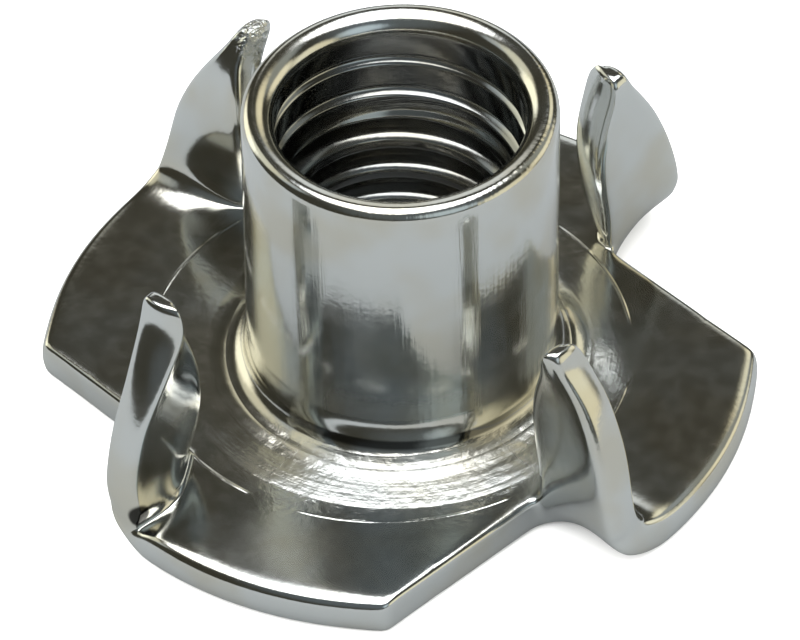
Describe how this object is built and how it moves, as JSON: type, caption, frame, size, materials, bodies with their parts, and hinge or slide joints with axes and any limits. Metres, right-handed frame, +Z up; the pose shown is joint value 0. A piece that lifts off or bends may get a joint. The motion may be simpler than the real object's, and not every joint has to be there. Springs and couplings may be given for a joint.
{
  "type": "flanged furniture nut",
  "caption": "Drawn threaded barrel on a round stamped flange with folded-up prongs that bite into wood and stop the nut turning.",
  "frame": {"origin": "centre of the flange underside, on the thread's axis", "axes": "+Z up the barrel from the flange to the rim, out of the mouth the bolt enters; +X along the radial line one prong stands on"},
  "size_m": [0.022, 0.022, 0.0114],
  "materials": {
    "zinc_plate": "polished"
  },
  "bodies": {
    "root": {"tee_nut": "zinc_plate"}
  },
  "joints": []
}
